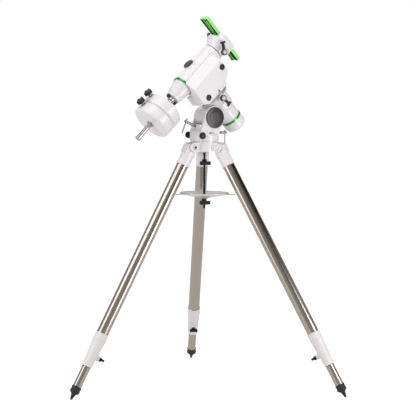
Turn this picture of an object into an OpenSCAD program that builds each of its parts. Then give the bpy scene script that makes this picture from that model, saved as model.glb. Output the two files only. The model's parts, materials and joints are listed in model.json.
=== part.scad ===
// German equatorial mount head on a three-legged steel tripod, parked in its home position.
// +Z is up, +Y is north and +X is east. The north leg points along +Y.
// The origin lies on the ground, at the middle of the box that the whole mount fills.

/* [Tripod] */
// Height of the leg hinge pins above the ground
hinge_z = 900; // [800:1:1000]
// Distance of the leg hinge pins from the azimuth axis
hinge_r = 61.5; // [60:0.5:66]
// Angle of the spread legs from the vertical
leg_tilt = 29.9; // [26:0.1:33]
// Outer diameter of the upper leg tubes
upper_tube_d = 44.45; // [42:0.05:45]
// Outer diameter of the lower leg tubes
lower_tube_d = 32; // [28:0.5:34]
// Wall of the leg tubes
tube_wall = 1.5; // [1:0.1:3]
// Distance along a leg from its hinge to the end of its upper casting
casting_end = 78; // [70:1:90]
// Distance along a leg from its hinge to the top of its clamp casting
clamp_top = 774; // [700:1:780]
// Distance along a leg from its hinge to the bottom of its clamp casting
clamp_end = 906; // [895:1:915]
// Distance along a leg from its hinge to the widest ring of its foot
foot_ring = 1004; // [995:1:1008]
// Radius of the rounded foot tip
foot_tip_r = 4; // [3:0.5:5]
// Height of the hub's top face
hub_top = 923; // [921:1:925]
// Height of the spreader tray
tray_z = 724; // [690:1:760]
// Radius that the arms of the tray reach
tray_r = 128; // [100:1:129]
// Diameter of the central threaded rod
rod_d = 9; // [8:0.5:10]

/* [Azimuth base] */
// Radius of the round base casting
base_r = 52; // [50:1:54]
// Height of the altitude pivot above the ground
pivot_z = 1011; // [1009:1:1013]
// Distance of the altitude pivot from the azimuth axis, towards the south
pivot_south = 19.5; // [18:0.5:21]
// Half width of the fork that holds the altitude pivot
fork_half = 38; // [37:0.5:40]
// Radius of the round ends of the fork arms
fork_r = 44; // [42:1:46]
// Radius of the dark caps on the altitude pivot
pivot_cap_r = 39.5; // [38:0.5:42]
// Distance of the azimuth peg from the azimuth axis
peg_y = 42; // [41:0.5:43]

/* [Polar unit] */
// Latitude that the polar axis is set to
latitude = 46; // [44:0.5:48]
// Distance from the altitude pivot to the declination axis, along the polar axis
pivot_to_dec = 167; // [165:1:169]
// Distance of the polar axis above the altitude pivot
polar_rise = 70; // [68:1:72]
// Radius of the polar shaft
polar_shaft_r = 20; // [18:0.5:20]
// Radius of the polar housing near its flange
polar_r = 47; // [46:1:50]
// Radius of the slim lower part of the polar housing
polar_tail_r = 39; // [38:0.5:40]
// Radius of the green accent rings
accent_r = 42; // [41.5:0.5:43]

/* [Declination unit] */
// Radius of the declination barrel
barrel_r = 40; // [39:0.5:41]
// Radius of the polar hub that carries the barrel
hub_r = 58; // [56:1:60]
// Distance of the drive cover's outer face from the axes
cover_x = 70; // [66:1:74]
// Thickness of the drive cover's walls
cover_wall = 3; // [2:0.5:4]
// Radius of the declination shaft
dec_shaft_r = 16; // [14:0.5:17]

/* [Counterweights] */
// Diameter of the counterweight shaft
weight_shaft_d = 18; // [16:0.5:20]
// Distance of the shaft's end from the polar axis
shaft_reach = 352; // [340:1:400]
// Outer radius of a counterweight
weight_r = 74.5; // [70:0.5:75]
// Thickness of a counterweight
weight_h = 43.5; // [38:0.5:46]
// Distance of the upper counterweight's top from the polar axis
weight_top = 185; // [176:1:190]

/* [Saddle] */
// Half width of the saddle across the bar
saddle_half = 50; // [48:1:52]
// Height of the bar's lower face above the polar axis
bar_z = 163; // [161:1:165]
// Width of the dovetail bar at its lower face
bar_w = 44; // [43:0.5:45]
// Thickness of the dovetail bar
bar_h = 15; // [14:0.5:16]
// Length of the dovetail bar
bar_len = 212; // [200:1:230]
// Shift of the bar's middle towards the north
bar_shift = 12; // [8:1:14]
// Radius of the holes in the dovetail bar
bar_hole_r = 3.3; // [3:0.1:3.4]

/* [Hidden] */
$fn = 64;
facets = 32;
// Radial clearance of a shaft that turns or slides in its bore
run = 0.05;
// Gap between two faces that never touch
gap = 0.3;
// Extra length that makes a cut pass through a surface
over = 1;

LEG_ANGLES = [0, 120, -120];
NORTH = 0;
WEST = 1;
EAST = 2;

upper_tube_r = upper_tube_d / 2;
lower_tube_r = lower_tube_d / 2;
foot_ring_r = lower_tube_r + 2.6;
tip_cut = 1.2;
tip_s = (hinge_z - foot_tip_r + tip_cut) / cos(leg_tilt);
north_reach = hinge_r + tip_s * sin(leg_tilt) + foot_tip_r;
ring_spread = foot_ring_r * sqrt(1 - pow(sin(leg_tilt) / 2, 2));
south_reach = (hinge_r + foot_ring * sin(leg_tilt)) / 2 + ring_spread;
stand_y = (north_reach - south_reach) / 2;

hub_bottom = 884;
ear_r = 18;
ear_out = 27;
slot_half = 18.4;
pin_r = 5;
tongue_half = slot_half - 0.6;

fork_in = 29.5;
axle_r = 8;
base_bottom = hub_top + 0.6;
peg_r = 6;
azimuth_screw_z = 945;
lug_r = 58;
lug_pin_r = 6;

seam = 106;
nose_end = -140;
shaft_top = -80;
shaft_r = weight_shaft_d / 2;

// ---- frames ----

// The azimuth axis, with z counted from the ground
module ground() translate([0, -stand_y, 0]) children();

// One leg: x along its hinge pin, y outwards, z up the leg from the hinge
module leg(which)
    ground() rotate([0, 0, LEG_ANGLES[which]]) translate([0, hinge_r, hinge_z])
        rotate([leg_tilt, 0, 0]) children();

// The altitude pivot, with x along it
module pivot() ground() translate([0, -pivot_south, pivot_z]) children();

// The crossing of the two axes: y runs up the polar axis, z up the declination axis
module head()
    pivot() rotate([latitude, 0, 0]) translate([0, pivot_to_dec, polar_rise]) children();

// Lays a shape that stands on z along the polar axis of head(), or along x
module along_y() rotate([-90, 0, 0]) children();
module along_x() rotate([0, 90, 0]) children();

// ---- shapes that repeat ----

module ring(outer, inner, h) difference() {
    cylinder(r = outer, h = h);
    translate([0, 0, -over]) cylinder(r = inner, h = h + 2 * over);
}

// A turned shape with the outline given as [radius, height] points
module turned(points) rotate_extrude() polygon(points);

// A knob with round lobes, standing on z = 0
module lobed_knob(reach, lobes, h) {
    lobe_r = reach * 0.3;
    linear_extrude(h) union() {
        circle(reach * 0.74);
        for (i = [0 : lobes - 1]) rotate(i * 360 / lobes) translate([reach - lobe_r, 0])
            circle(lobe_r);
    }
}

// A prism along x from an outline in y and z
module slab(x_low, x_high)
    translate([x_low, 0, 0]) rotate([90, 0, 90]) linear_extrude(x_high - x_low) children();

// ---- tripod ----

module tripod_hub() color("white") ground() difference() {
    union() {
        translate([0, 0, hub_bottom]) cylinder(r = 50, h = hub_top - hub_bottom - 5);
        translate([0, 0, hub_top - 6.5]) cylinder(r = base_r, h = 6.5);
        for (a = LEG_ANGLES) rotate(a) for (side = [-1, 1])
            hub_ear(side);
    }
    for (a = LEG_ANGLES) rotate(a) {
        translate([-slot_half, 34, hub_bottom - 3]) cube([2 * slot_half, 60, 36.5]);
        translate([-40, hinge_r, hinge_z]) along_x() cylinder(r = pin_r + run, h = 80);
    }
    translate([0, 0, hub_bottom - over]) cylinder(r = rod_d / 2 + gap, h = 60);
    translate([0, peg_y, hub_top - 6]) cylinder(r = peg_r + run, h = 10);
}

module hub_ear(side) {
    thick = ear_out - slot_half;
    mid = side * (slot_half + thick / 2);
    translate([mid, hinge_r, hinge_z]) along_x() cylinder(r = ear_r, h = thick, center = true);
    translate([mid - thick / 2, 30, hub_bottom]) cube([thick, hinge_r - 30, 34]);
}

module leg_hinge_pins() color("dimgray") ground() for (a = LEG_ANGLES) rotate(a)
    translate([0, hinge_r, hinge_z]) along_x() {
        cylinder(r = pin_r, h = 2 * ear_out + 1, center = true);
        for (side = [-1, 1]) translate([0, 0, side * (ear_out + 2.2)])
            cylinder(r = 8, h = 3.8, center = true);
    }

module azimuth_peg() color("silver") ground() translate([0, peg_y, hub_top - 5.5])
    cylinder(r = peg_r, h = azimuth_screw_z + 6 - hub_top + 5.5);

module centre_rod() color("black") ground() translate([0, 0, 669])
    cylinder(r = rod_d / 2, h = 266);

module leg_casting(which) color("white") leg(which) difference() {
    union() {
        translate([0, 0, -casting_end]) cylinder(r = 24.4, h = casting_end - 20);
        slab(-tongue_half, tongue_half) {
            circle(15);
            polygon([[-15, 0], [-24, -30], [24, -30], [24, 0], [19, 6], [8, 12.5]]);
        }
    }
    translate([0, 0, -casting_end - over]) cylinder(r = upper_tube_r + run, h = casting_end - 26);
    translate([-40, 0, 0]) along_x() cylinder(r = pin_r + run, h = 80);
}
module north_leg_casting() leg_casting(NORTH);
module west_leg_casting() leg_casting(WEST);
module east_leg_casting() leg_casting(EAST);

module upper_tube(which) color("silver") leg(which) translate([0, 0, -clamp_top - 50])
    ring(upper_tube_r, upper_tube_r - tube_wall, clamp_top + 50 - 28);
module north_upper_tube() upper_tube(NORTH);
module west_upper_tube() upper_tube(WEST);
module east_upper_tube() upper_tube(EAST);

lock_s = 860;
lock_boss = 31;
module clamp(which) color("white") leg(which) difference() {
    union() {
        turned([[0, -clamp_end], [17.4, -clamp_end], [18.6, -clamp_end + 2],
            [24.6, -clamp_top - 26], [25, -clamp_top - 2], [24, -clamp_top], [0, -clamp_top]]);
        translate([0, 0, -lock_s]) rotate([90, 0, 0]) cylinder(r = 9, h = lock_boss);
    }
    translate([0, 0, -clamp_top - 51]) cylinder(r = upper_tube_r + run, h = 60);
    translate([0, 0, -clamp_end - over]) cylinder(r = lower_tube_r + run, h = clamp_end - 700);
    translate([0, 0, -lock_s]) rotate([90, 0, 0]) cylinder(r = 4 + run, h = lock_boss + over);
}
module north_clamp() clamp(NORTH);
module west_clamp() clamp(WEST);
module east_clamp() clamp(EAST);

module leg_lock(which) color("black") leg(which) translate([0, 0, -lock_s]) rotate([90, 0, 0]) {
    translate([0, 0, lower_tube_r + gap]) cylinder(r = 4, h = lock_boss - lower_tube_r + 6);
    translate([0, 0, lock_boss + 1]) cylinder(r = 8, h = 10);
    translate([0, 0, lock_boss + 6]) wing(32, 9, 12);
}
module north_leg_lock() leg_lock(NORTH);
module west_leg_lock() leg_lock(WEST);
module east_leg_lock() leg_lock(EAST);

// A two-armed thumb wing with round ends, standing on z = 0
module wing(span, wide, h) linear_extrude(h) union() {
    square([span - wide, wide * 0.7], center = true);
    for (side = [-1, 1]) translate([side * (span - wide) / 2, 0]) circle(wide / 2);
}

lower_tube_top = 470;
module lower_tube(which) color("silver") leg(which) translate([0, 0, -992])
    ring(lower_tube_r, lower_tube_r - tube_wall, 992 - lower_tube_top);
module north_lower_tube() lower_tube(NORTH);
module west_lower_tube() lower_tube(WEST);
module east_lower_tube() lower_tube(EAST);

module foot(which) intersection() {
    color([0.08, 0.08, 0.08]) leg(which) difference() {
        union() {
            turned([[0, -tip_s], [foot_tip_r, -tip_s], [9, -foot_ring - 12], [14, -foot_ring - 8],
                [foot_ring_r, -foot_ring - 3], [foot_ring_r, -foot_ring],
                [lower_tube_r + 1.2, -foot_ring + 4], [lower_tube_r + 1.4, -986],
                [0, -986]]);
            translate([0, 0, -tip_s]) sphere(foot_tip_r);
        }
        translate([0, 0, -992.5]) cylinder(r = lower_tube_r + run, h = 10);
    }
    translate([-800, -800, 0]) cube([1600, 1600, 200]);
}
module north_foot() foot(NORTH);
module west_foot() foot(WEST);
module east_foot() foot(EAST);

module mount_knob() color("black") ground() difference() {
    union() {
        translate([0, 0, 833]) lobed_knob(24, 3, 13);
        translate([0, 0, 833]) cylinder(r = 9.5, h = 21);
    }
    translate([0, 0, 830]) cylinder(r = rod_d / 2 + run, h = 30);
}

// A dished tray with three arms that brace the legs
tray_depth = 17.5;
module spreader_tray() color("gainsboro") ground() translate([0, 0, tray_z]) difference() {
    union() {
        turned([[0, -tray_depth], [13, -tray_depth], [16, -16], [88, -1], [93, 1.5], [93, 5],
            [90.5, 5], [88, 2], [16, -12.5], [0, -12.5]]);
        for (a = LEG_ANGLES) rotate(a) tray_arm();
    }
    translate([0, 0, -30]) cylinder(r = rod_d / 2 + 0.4, h = 50);
}
module tray_arm() linear_extrude(3) {
    tip_r = 8;
    polygon([[-26, 86], [-tip_r, tray_r - tip_r], [tip_r, tray_r - tip_r], [26, 86]]);
    translate([0, tray_r - tip_r]) circle(tip_r);
}

module tray_knob() color("black") ground() difference() {
    union() {
        translate([0, 0, 684]) lobed_knob(23.5, 3, 13);
        translate([0, 0, 684]) cylinder(r = 9, h = tray_z - tray_depth - gap - 684);
    }
    translate([0, 0, 680]) cylinder(r = rod_d / 2 + run, h = 50);
}

// ---- azimuth base ----

module azimuth_base() color("white") difference() {
    ground() union() {
        translate([0, 0, base_bottom]) cylinder(r = base_r, h = 22);
        translate([0, 0, base_bottom + 22]) cylinder(r1 = base_r, r2 = base_r - 5, h = 6);
        for (side = [-1, 1]) fork_arm(side);
        peg_housing();
        translate([-fork_in - 1, 26, 940]) cube([2 * fork_in + 2, 17, 46]);
        translate([-16, -54, base_bottom]) cube([32, 10, 42]);
    }
    ground() {
        translate([-fork_in, -46, 936]) cube([2 * fork_in, 72, 60]);
        translate([0, 0, base_bottom - over]) cylinder(r = rod_d / 2 + 1.5, h = 30);
        translate([-13.5, peg_y - 8.5, base_bottom - over]) cube([27, 17, 30]);
        translate([-50, peg_y, azimuth_screw_z]) along_x() cylinder(r = 4 + run, h = 100);
        for (side = [-1, 1]) translate([0, peg_y, azimuth_screw_z]) rotate([0, side * 90, 0])
            translate([0, 0, fork_half + 0.2]) cylinder(r = 14, h = 30);
        translate([0, -40, south_bolt_z]) rotate([90, 0, 0]) cylinder(r = bolt_r + run, h = 40);
    }
    north_bolt_line() translate([0, 0, 20]) cylinder(r = bolt_r + run, h = 90);
    pivot() translate([-50, 0, 0]) along_x() cylinder(r = axle_r + run, h = 100);
}
module fork_arm(side) {
    low = side < 0 ? -fork_half : fork_in;
    translate([0, -pivot_south, pivot_z]) slab(low, low + fork_half - fork_in) {
        circle(fork_r);
        polygon([[-fork_r, 0], [-16, -70], [-16, -75], [60, -75], [62, -52], [fork_r, 0]]);
    }
}
module peg_housing() intersection() {
    translate([0, 0, base_bottom]) cylinder(r = 56, h = 38);
    translate([-34, 20, base_bottom]) cube([68, 40, 38]);
}

bolt_r = 5;
south_bolt_z = pivot_z - lug_r;
north_bolt_rise = 22.6;
// The line of the north altitude bolt, with z running outwards from the lug's pin
module north_bolt_line() pivot() translate([0, 0, -lug_r]) rotate([-90 + north_bolt_rise, 0, 0])
    children();

module altitude_axle() color("dimgray") pivot() along_x()
    cylinder(r = axle_r, h = 2 * fork_half - 1, center = true);

module pivot_caps() color([0.2, 0.19, 0.22]) pivot() for (side = [-1, 1])
    rotate([0, side * 90, 0]) translate([0, 0, fork_half])
        turned([[0, 0], [pivot_cap_r, 0], [pivot_cap_r, 2], [pivot_cap_r - 4, 4],
            [pivot_cap_r - 12, 5], [0, 5.5]]);

module spirit_level() color("gold") ground() translate([-43, -4, base_bottom + 28.1])
    cylinder(r = 4, h = 4);

module azimuth_screw(side) color([0.15, 0.15, 0.16])
    ground() translate([0, peg_y, azimuth_screw_z]) rotate([0, side * 90, 0]) {
        translate([0, 0, peg_r + 0.4]) cylinder(r = 4, h = 40);
        translate([0, 0, 43]) turned([[0, 0], [12, 0], [13, 1.5], [13, 8], [9.5, 10.5], [0, 11.5]]);
    }
module west_azimuth_screw() azimuth_screw(-1);
module east_azimuth_screw() azimuth_screw(1);

north_bolt_len = 108;
tommy_r = 2.4;
module north_altitude_bolt() color("silver") north_bolt_line() difference() {
    union() {
        translate([0, 0, lug_pin_r + 1.9]) cylinder(r = bolt_r, h = north_bolt_len);
        translate([0, 0, lug_pin_r + 1.9 + north_bolt_len]) sphere(bolt_r);
    }
    translate([0, 0, north_bolt_len + 5]) rotate([90, 0, 0])
        cylinder(r = tommy_r + run, h = 30, center = true);
}
module tommy_bar(len, low) translate([0, 0, low]) {
    cylinder(r = tommy_r, h = len);
    sphere(3.3);
    translate([0, 0, len]) sphere(3.3);
}
module north_tommy_bar() color("silver") north_bolt_line()
    translate([0, 0, north_bolt_len + 5]) rotate([-90, 0, 0]) tommy_bar(52, -9);

south_bolt_end = 80;
module south_altitude_bolt() color("silver") pivot()
    translate([0, 0, south_bolt_z - pivot_z]) difference() {
        rotate([90, 0, 0]) translate([0, 0, lug_pin_r + 1])
            cylinder(r = bolt_r, h = south_bolt_end - lug_pin_r - 1);
        translate([0, -south_bolt_end + 6, 0]) cylinder(r = tommy_r + run, h = 30, center = true);
    }
module south_tommy_bar() color("white") pivot()
    translate([0, -south_bolt_end + 6, south_bolt_z - pivot_z]) tommy_bar(70, -62);

// ---- polar unit ----

polar_flange = -118.5;
polar_bottom = -234;
cap_end = -284;
clutch_p = -124;
clutch_d = -9;
module polar_housing() color("white") difference() {
    union() {
        head() along_y() turned([[0, polar_flange], [hub_r, polar_flange],
            [hub_r, polar_flange - 6], [polar_r, polar_flange - 14], [polar_r, -176],
            [polar_tail_r, -192], [polar_tail_r, polar_bottom], [0, polar_bottom]]);
        pivot() along_x() cylinder(r = fork_r - 0.6, h = 2 * fork_in - 1, center = true);
        head() translate([-fork_in + 3, -203, -66]) cube([2 * fork_in - 6, 64, 52]);
        pivot() translate([-9, -lug_pin_r + 1, -lug_r]) cube([18, 2 * lug_pin_r - 2, 30]);
        pivot() translate([-9.5, 0, -lug_r]) along_x() cylinder(r = lug_pin_r, h = 19);
        head() translate([-67, clutch_p, clutch_d]) along_x() cylinder(r = 12, h = 30);
    }
    head() along_y() translate([0, 0, polar_bottom - over])
        cylinder(r = polar_shaft_r + run, h = polar_flange - polar_bottom + 2 * over);
    for (side = [-1, 1]) pivot() rotate([0, side * 90, 0]) translate([0, 0, fork_in - 0.3])
        cylinder(r = fork_r + 0.6, h = 30);
    head() along_y() translate([0, 0, polar_flange]) cylinder(r = setting_ring_r + gap, h = 20);
    pivot() translate([-50, 0, 0]) along_x() cylinder(r = axle_r + run, h = 100);
    head() translate([-70, clutch_p, clutch_d]) along_x() cylinder(r = 4 + run, h = 20);
}

ring_top = -103;
setting_ring_r = 60;
module setting_ring() color([0.5, 0.48, 0.45]) head() along_y()
    translate([0, 0, polar_flange + 0.2])
        ring(setting_ring_r, 31.3, ring_top - polar_flange - 0.2);

module polar_worm_wheel() color("goldenrod") head() along_y() {
    translate([0, 0, polar_flange]) ring(30, polar_shaft_r + gap, 24);
    translate([0, 0, polar_flange + 24]) ring(44, polar_shaft_r + gap, 12);
}

module polar_accent_ring() color([0.35, 0.9, 0.35]) head() along_y()
    translate([0, 0, polar_bottom - 7.5]) ring(accent_r, 26, 7.3);

module polar_cap() color("white") head() along_y() turned([[36, polar_bottom - 8],
    [accent_r - 1, polar_bottom - 8], [accent_r - 1, cap_end + 14], [accent_r - 4, cap_end + 6],
    [30, cap_end + 0.8], [24, cap_end], [0, cap_end], [0, cap_end + 4], [28, cap_end + 4],
    [36, cap_end + 14]]);

// A clutch lever on a hub, its arm along y, standing on z = 0
module clutch_lever(reach) {
    cylinder(r = 11.5, h = 9);
    translate([0, 0, -12]) cylinder(r = 4, h = 13);
    translate([0, 0, 1]) linear_extrude(7) union() {
        translate([-4.5, 0]) square([9, reach - 4]);
        translate([0, reach - 4]) square([20, 7], center = true);
    }
}
module polar_clutch_lever() color([0.12, 0.12, 0.13])
    head() translate([-67.4, clutch_p, clutch_d]) rotate([180 - 8, 0, 0]) rotate([0, -90, 0])
        clutch_lever(38);

// ---- declination unit ----

cover_outline = [[18, -78], [-83, -85], [-97, -66], [-97, -14], [-86, -4], [-86, 48],
    [-66, 81], [18, 81]];
// How far the slanted face runs up the polar axis, at x = 0
cover_slant = 57;
cover_mid = [-38, 0];
cavity_outline = [for (q = cover_outline) cover_mid + (q - cover_mid) * 0.94];
plug_spots = [[-36.6, 67.3], [-77.5, -54]];
port_p = -86.3;
panel_end = -101;

module declination_housing() color("white") head() difference() {
    union() {
        translate([0, 0, -70]) cylinder(r = barrel_r, h = seam + 70);
        translate([0, 0, -79]) cylinder(r = barrel_r - 4, h = 10);
        translate([0, 0, nose_end]) cylinder(r1 = 27, r2 = 38, h = -78 - nose_end);
        along_y() translate([0, 0, ring_top + 0.5]) cylinder(r = hub_r, h = 70);
        translate([-37, -94, -82]) cube([59, 40, 60]);
        along_y() cylinder(r = 23, h = barrel_r + 2);
    }
    translate([0, 0, -55]) cylinder(r = dec_shaft_r + run, h = 200);
    translate([0, 0, nose_end - over]) cylinder(r = shaft_r + run, h = 100);
    along_y() translate([0, 0, ring_top - over]) cylinder(r = 31.3, h = 20);
    along_y() translate([0, 0, -96]) cylinder(r = 46, h = 16);
    along_y() translate([0, 0, -81]) cylinder(r = polar_shaft_r + run, h = 36);
    along_y() translate([0, 0, barrel_r - 8]) cylinder(r = 18 + run, h = 20);
}

module polar_shaft() color("silver") head() along_y() translate([0, 0, polar_bottom + 1])
    ring(polar_shaft_r, 15, -46 - polar_bottom);

module drive_cover() color("white") head() difference() {
    cover_block(0, -20, cover_outline);
    cover_block(cover_wall, -19, cavity_outline);
    translate([0, 0, -90]) cylinder(r = barrel_r + gap, h = 200);
    translate([0, 0, -90]) cylinder(r = accent_r + gap, h = 20.4);
    along_y() translate([0, 0, -110]) cylinder(r = hub_r + gap, h = 82);
    translate([-37.3, -94.3, -82.3]) cube([60, 41, 61]);
    for (q = plug_spots) translate([-cover_x - over, q[0], q[1]]) along_x()
        cylinder(r = 9.8, h = cover_wall + 2 * over);
}

// A block with a face slanting from its outer side towards the barrel
module cover_block(inset, x_high, outline) {
    slant = cover_slant - inset * sqrt(2);
    intersection() {
        slab(-cover_x + inset, x_high) polygon(outline);
        translate([0, 0, -120]) linear_extrude(240)
            polygon([[-80, -130], [-80, slant - 80], [-10, slant - 10], [-10, -130]]);
    }
}

module drive_motors() color("dimgray") head() for (spot = [[-20, 52], [-20, 8], [-20, -40]])
    translate([-61, spot[0], spot[1]]) along_x() cylinder(r = 10, h = 19);

module cover_plugs() color([0.12, 0.12, 0.13]) head() for (q = plug_spots)
    translate([-cover_x, q[0], q[1]]) rotate([0, -90, 0]) {
        turned([[0, 0.2], [11.5, 0.2], [11.5, 1.5], [10, 2.6], [0, 3]]);
        translate([0, 0, -4]) cylinder(r = 9.6, h = 5);
    }

module port_panel() color("whitesmoke") head() difference() {
    translate([-66, panel_end, 2]) cube([40, port_p - panel_end, 42]);
    along_y() translate([0, 0, -110]) cylinder(r = hub_r + gap, h = 82);
    translate([-61, panel_end - 1, 26]) cube([14, 5, 10]);
    translate([-61, panel_end - 1, 12]) cube([14, 5, 8]);
}

module window_plug() color([0.12, 0.12, 0.13]) head() along_y() {
    translate([0, 0, barrel_r + 2.3]) cylinder(r = 20, h = 3);
    translate([0, 0, barrel_r - 5]) cylinder(r = 18, h = 8);
}

module declination_accent_ring() color([0.35, 0.9, 0.35]) head() translate([0, 0, -77.7])
    ring(accent_r, barrel_r - 4 + run, 7.4);

module shaft_lock_ring() color([0.12, 0.12, 0.13]) head() difference() {
    translate([0, 0, nose_end - 11.5]) {
        cylinder(r = 13.5, h = 11);
        rotate(90) translate([0, 0, 1]) wing(52, 13, 9);
    }
    translate([0, 0, nose_end - 15]) cylinder(r = shaft_r + run, h = 20);
}

// ---- counterweights ----

module weight_shaft() color("silver") head() {
    translate([0, 0, -shaft_reach + 8]) cylinder(r = shaft_r, h = shaft_reach - 8 + shaft_top);
    translate([0, 0, -shaft_reach]) turned([[0, 0], [9, 0], [10.8, 1.5], [10.8, 7], [9.6, 8.2],
        [0, 8.2]]);
}

// Depth of the clamp screw below the weight's upper face
knob_drop = 16;
module weight(top) color("white") head() difference() {
    translate([0, 0, -top - weight_h]) turned([[0, 0], [weight_r - 6, 0], [weight_r, 5],
        [weight_r, weight_h - 5], [weight_r - 6, weight_h], [0, weight_h]]);
    translate([0, 0, -top - weight_h - over]) cylinder(r = shaft_r + run, h = weight_h + 2 * over);
    translate([0, 0, -top - knob_drop]) along_y() cylinder(r = 4 + run, h = 90);
    translate([0, 0, -top - knob_drop]) along_y() translate([0, 0, 62])
        cylinder(r = 9, h = 20);
}
module upper_weight() weight(weight_top);
module lower_weight() weight(weight_top + weight_h + 0.5);

module weight_knob(top) color([0.12, 0.12, 0.13])
    head() translate([0, 0, -top - knob_drop]) along_y() {
        translate([0, 0, shaft_r + gap]) cylinder(r = 4, h = 76);
        translate([0, 0, 84]) lobed_knob(16, 5, 13);
    }
module upper_weight_knob() weight_knob(weight_top);
module lower_weight_knob() weight_knob(weight_top + weight_h + 0.5);

// ---- saddle ----

module declination_shaft() color("silver") head() translate([0, 0, -50])
    cylinder(r = dec_shaft_r, h = 50 + seam + 14);

dec_clutch_p = -10;
dec_clutch_d = 119;
dec_clutch_x = -52;
saddle_knob_p = 14;
module saddle() color("whitesmoke") head() difference() {
    union() {
        turned([[0, seam + 0.6], [35.5, seam + 0.6], [35.5, seam + 3.6], [38, seam + 4],
            [38, 124], [51, 146], [51, 150], [0, 150]]);
        intersection() {
            union() {
                translate([-saddle_half, -36, 144])
                    cube([2 * saddle_half, 74, bar_z - gap - 144]);
                for (side = [-1, 1]) saddle_jaw(side);
            }
            translate([0, 0, 140]) cylinder(r = 53, h = 50);
        }
        translate([dec_clutch_x, dec_clutch_p, dec_clutch_d]) along_x()
            cylinder(r = 12, h = 22);
    }
    translate([0, 0, seam]) cylinder(r = dec_shaft_r + run, h = 14.3);
    translate([dec_clutch_x - over, dec_clutch_p, dec_clutch_d]) along_x()
        cylinder(r = 4 + run, h = 16);
    translate([26, saddle_knob_p, bar_z + 6]) along_x() cylinder(r = 4 + run, h = 40);
}
module saddle_jaw(side) {
    inner = bar_w / 2 + 0.4;
    translate([0, 38, 0]) rotate([90, 0, 0]) linear_extrude(74)
        polygon([[side * inner, bar_z - 1], [side * inner, bar_z + 1.5],
            [side * (inner - 2.6), bar_z + 12], [side * (saddle_half - 8), bar_z + 12],
            [side * saddle_half, bar_z + 4], [side * saddle_half, bar_z - 1]]);
}

module saddle_knob() color([0.12, 0.12, 0.13]) head()
    translate([30, saddle_knob_p, bar_z + 6]) along_x() {
        cylinder(r = 4, h = 34);
        translate([0, 0, 26]) cylinder(r = 7, h = 14);
        translate([0, 0, 34]) rotate(30) wing(44, 13, 11);
    }

module dovetail_bar() color([0.35, 0.9, 0.35]) head() translate([0, bar_shift, bar_z])
    difference() {
        translate([0, bar_len / 2, 0]) rotate([90, 0, 0]) linear_extrude(bar_len)
            polygon([[-bar_w / 2, 0], [-bar_w / 2, 2], [-bar_w / 2 + 3, bar_h - 1],
                [-bar_w / 2 + 4, bar_h], [bar_w / 2 - 4, bar_h], [bar_w / 2 - 3, bar_h - 1],
                [bar_w / 2, 2], [bar_w / 2, 0], [6, 0], [6, 4], [-6, 4], [-6, 0]]);
        for (p = bar_holes) translate([0, p, -over]) cylinder(r = bar_hole_r, h = bar_h + 2 * over);
    }
bar_holes = [-90, -70, 70, 90];

module declination_clutch_lever() color([0.12, 0.12, 0.13])
    head() translate([dec_clutch_x - 0.4, dec_clutch_p, dec_clutch_d]) rotate([33, 0, 0])
        rotate([0, -90, 0]) clutch_lever(41);

tripod_hub();
leg_hinge_pins();
azimuth_peg();
centre_rod();
north_leg_casting();
west_leg_casting();
east_leg_casting();
north_upper_tube();
west_upper_tube();
east_upper_tube();
north_clamp();
west_clamp();
east_clamp();
north_leg_lock();
west_leg_lock();
east_leg_lock();
north_lower_tube();
west_lower_tube();
east_lower_tube();
north_foot();
west_foot();
east_foot();
mount_knob();
spreader_tray();
tray_knob();
azimuth_base();
altitude_axle();
pivot_caps();
spirit_level();
west_azimuth_screw();
east_azimuth_screw();
north_altitude_bolt();
north_tommy_bar();
south_altitude_bolt();
south_tommy_bar();
polar_housing();
setting_ring();
polar_worm_wheel();
polar_accent_ring();
polar_cap();
polar_clutch_lever();
declination_housing();
polar_shaft();
drive_cover();
drive_motors();
cover_plugs();
port_panel();
window_plug();
declination_accent_ring();
shaft_lock_ring();
weight_shaft();
upper_weight();
lower_weight();
upper_weight_knob();
lower_weight_knob();
declination_shaft();
saddle();
saddle_knob();
dovetail_bar();
declination_clutch_lever();
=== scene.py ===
"""The looks of a German equatorial mount on its tripod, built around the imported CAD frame."""
import json
import math
from contextlib import contextmanager

import bmesh
import bpy
from mathutils import Matrix, Vector


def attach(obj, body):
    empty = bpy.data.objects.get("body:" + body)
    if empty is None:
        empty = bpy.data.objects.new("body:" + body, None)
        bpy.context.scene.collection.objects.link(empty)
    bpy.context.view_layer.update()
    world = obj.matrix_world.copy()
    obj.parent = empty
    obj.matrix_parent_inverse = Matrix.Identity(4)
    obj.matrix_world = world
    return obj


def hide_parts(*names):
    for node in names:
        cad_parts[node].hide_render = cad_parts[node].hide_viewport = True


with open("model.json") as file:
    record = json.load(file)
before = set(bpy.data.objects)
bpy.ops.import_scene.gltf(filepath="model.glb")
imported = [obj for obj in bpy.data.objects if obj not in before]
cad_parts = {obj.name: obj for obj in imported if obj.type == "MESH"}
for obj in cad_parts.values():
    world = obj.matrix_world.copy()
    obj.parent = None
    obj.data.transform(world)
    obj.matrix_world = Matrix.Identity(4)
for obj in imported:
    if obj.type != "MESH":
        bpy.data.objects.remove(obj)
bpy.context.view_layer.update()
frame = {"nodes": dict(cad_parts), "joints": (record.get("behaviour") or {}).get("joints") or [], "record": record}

MM = 0.001
NODES = frame["nodes"]
JOINTS = {j["name"]: j for j in frame["joints"]}
LEGS = ("north", "west", "east")
scene = bpy.context.scene


# ---- local frames: millimetres in, metres in the row frame out ----

def frame_at(origin, x, z):
    """The matrix of a local frame with its origin in metres and its x and z directions."""
    x, z = Vector(x).normalized(), Vector(z).normalized()
    axes = Matrix((x, z.cross(x), z)).transposed().to_4x4()
    return Matrix.Translation(Vector(origin)) @ axes @ Matrix.Scale(MM, 4)


def move(x=0, y=0, z=0):
    return Matrix.Translation((x, y, z))


def turn(angle, axis):
    return Matrix.Rotation(math.radians(angle), 4, axis)


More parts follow.
